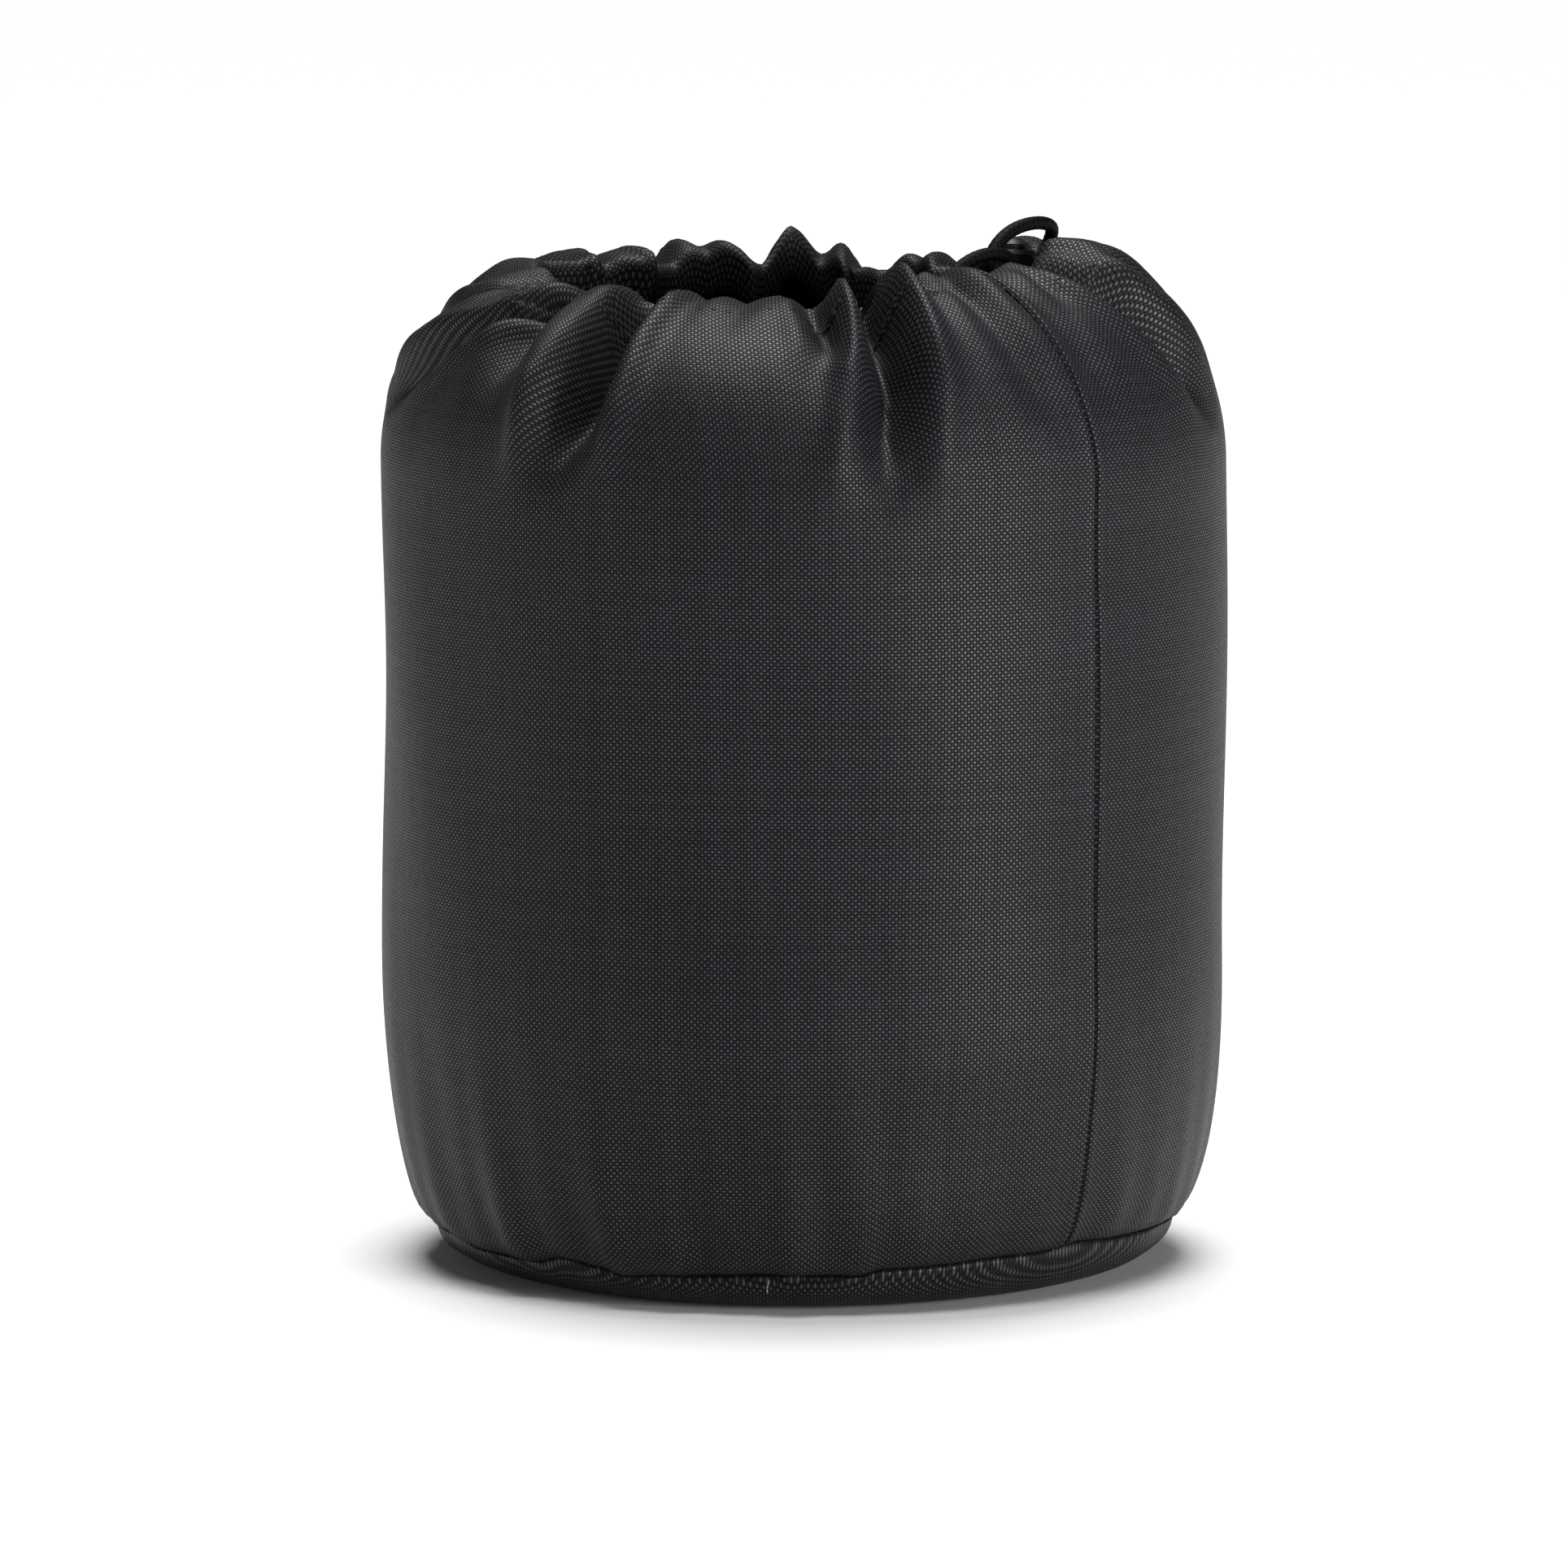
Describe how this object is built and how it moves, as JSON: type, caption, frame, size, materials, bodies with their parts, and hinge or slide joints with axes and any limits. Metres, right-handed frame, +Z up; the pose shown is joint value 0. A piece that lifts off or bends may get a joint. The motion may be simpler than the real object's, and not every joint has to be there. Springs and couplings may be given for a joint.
{
  "type": "compression sack",
  "caption": "Cylindrical drawstring stuff sack of black oxford cloth, filled and cinched, with a sprung cord lock on its cord.",
  "frame": {"origin": "on the floor, at the middle of the base panel", "axes": "+Z up along the sack, front of the sack towards -Y, cord lock towards +X"},
  "size_m": [0.19, 0.19, 0.2378],
  "materials": {
    "oxford_cloth": "matt plain weave with a faint sheen",
    "cloth_inside": "matt, coated back of the cloth with overlocked edges",
    "thread": "twisted sewing thread",
    "drawcord": "smooth round braid",
    "lock_plastic": "moulded, fine satin texture",
    "spring_steel": "drawn wire"
  },
  "bodies": {
    "sack": {"side_panel": "oxford_cloth", "base_panel": "oxford_cloth", "channel_hem": "oxford_cloth", "side_seam_allowance": "cloth_inside", "base_seam_allowance": "cloth_inside", "side_seam_thread": "thread", "base_seam_thread": "thread", "hem_stitch_thread": "thread", "exit_buttonholes": "thread", "drawcord_in_hem": "drawcord", "drawcord_right_end": "drawcord", "drawcord_left_end": "drawcord", "drawcord_knot": "drawcord"},
    "cord_lock": {"cord_lock_barrel": "lock_plastic", "cord_lock_spring": "spring_steel"},
    "plunger": {"cord_lock_plunger": "lock_plastic"}
  },
  "joints": [
    {"name": "cord_lock_slide", "type": "slide", "parent": "sack", "child": "cord_lock", "axis": [0, 0.9848, -0.1736], "range_m": [0, 0.012]},
    {"name": "plunger_press", "type": "slide", "parent": "cord_lock", "child": "plunger", "axis": [0, -0.1736, -0.9848], "range_m": [0, 0.0029], "stiffness_N_per_m": 800, "springref_m": -0.001, "deforming": ["cord_lock_spring"]}
  ]
}
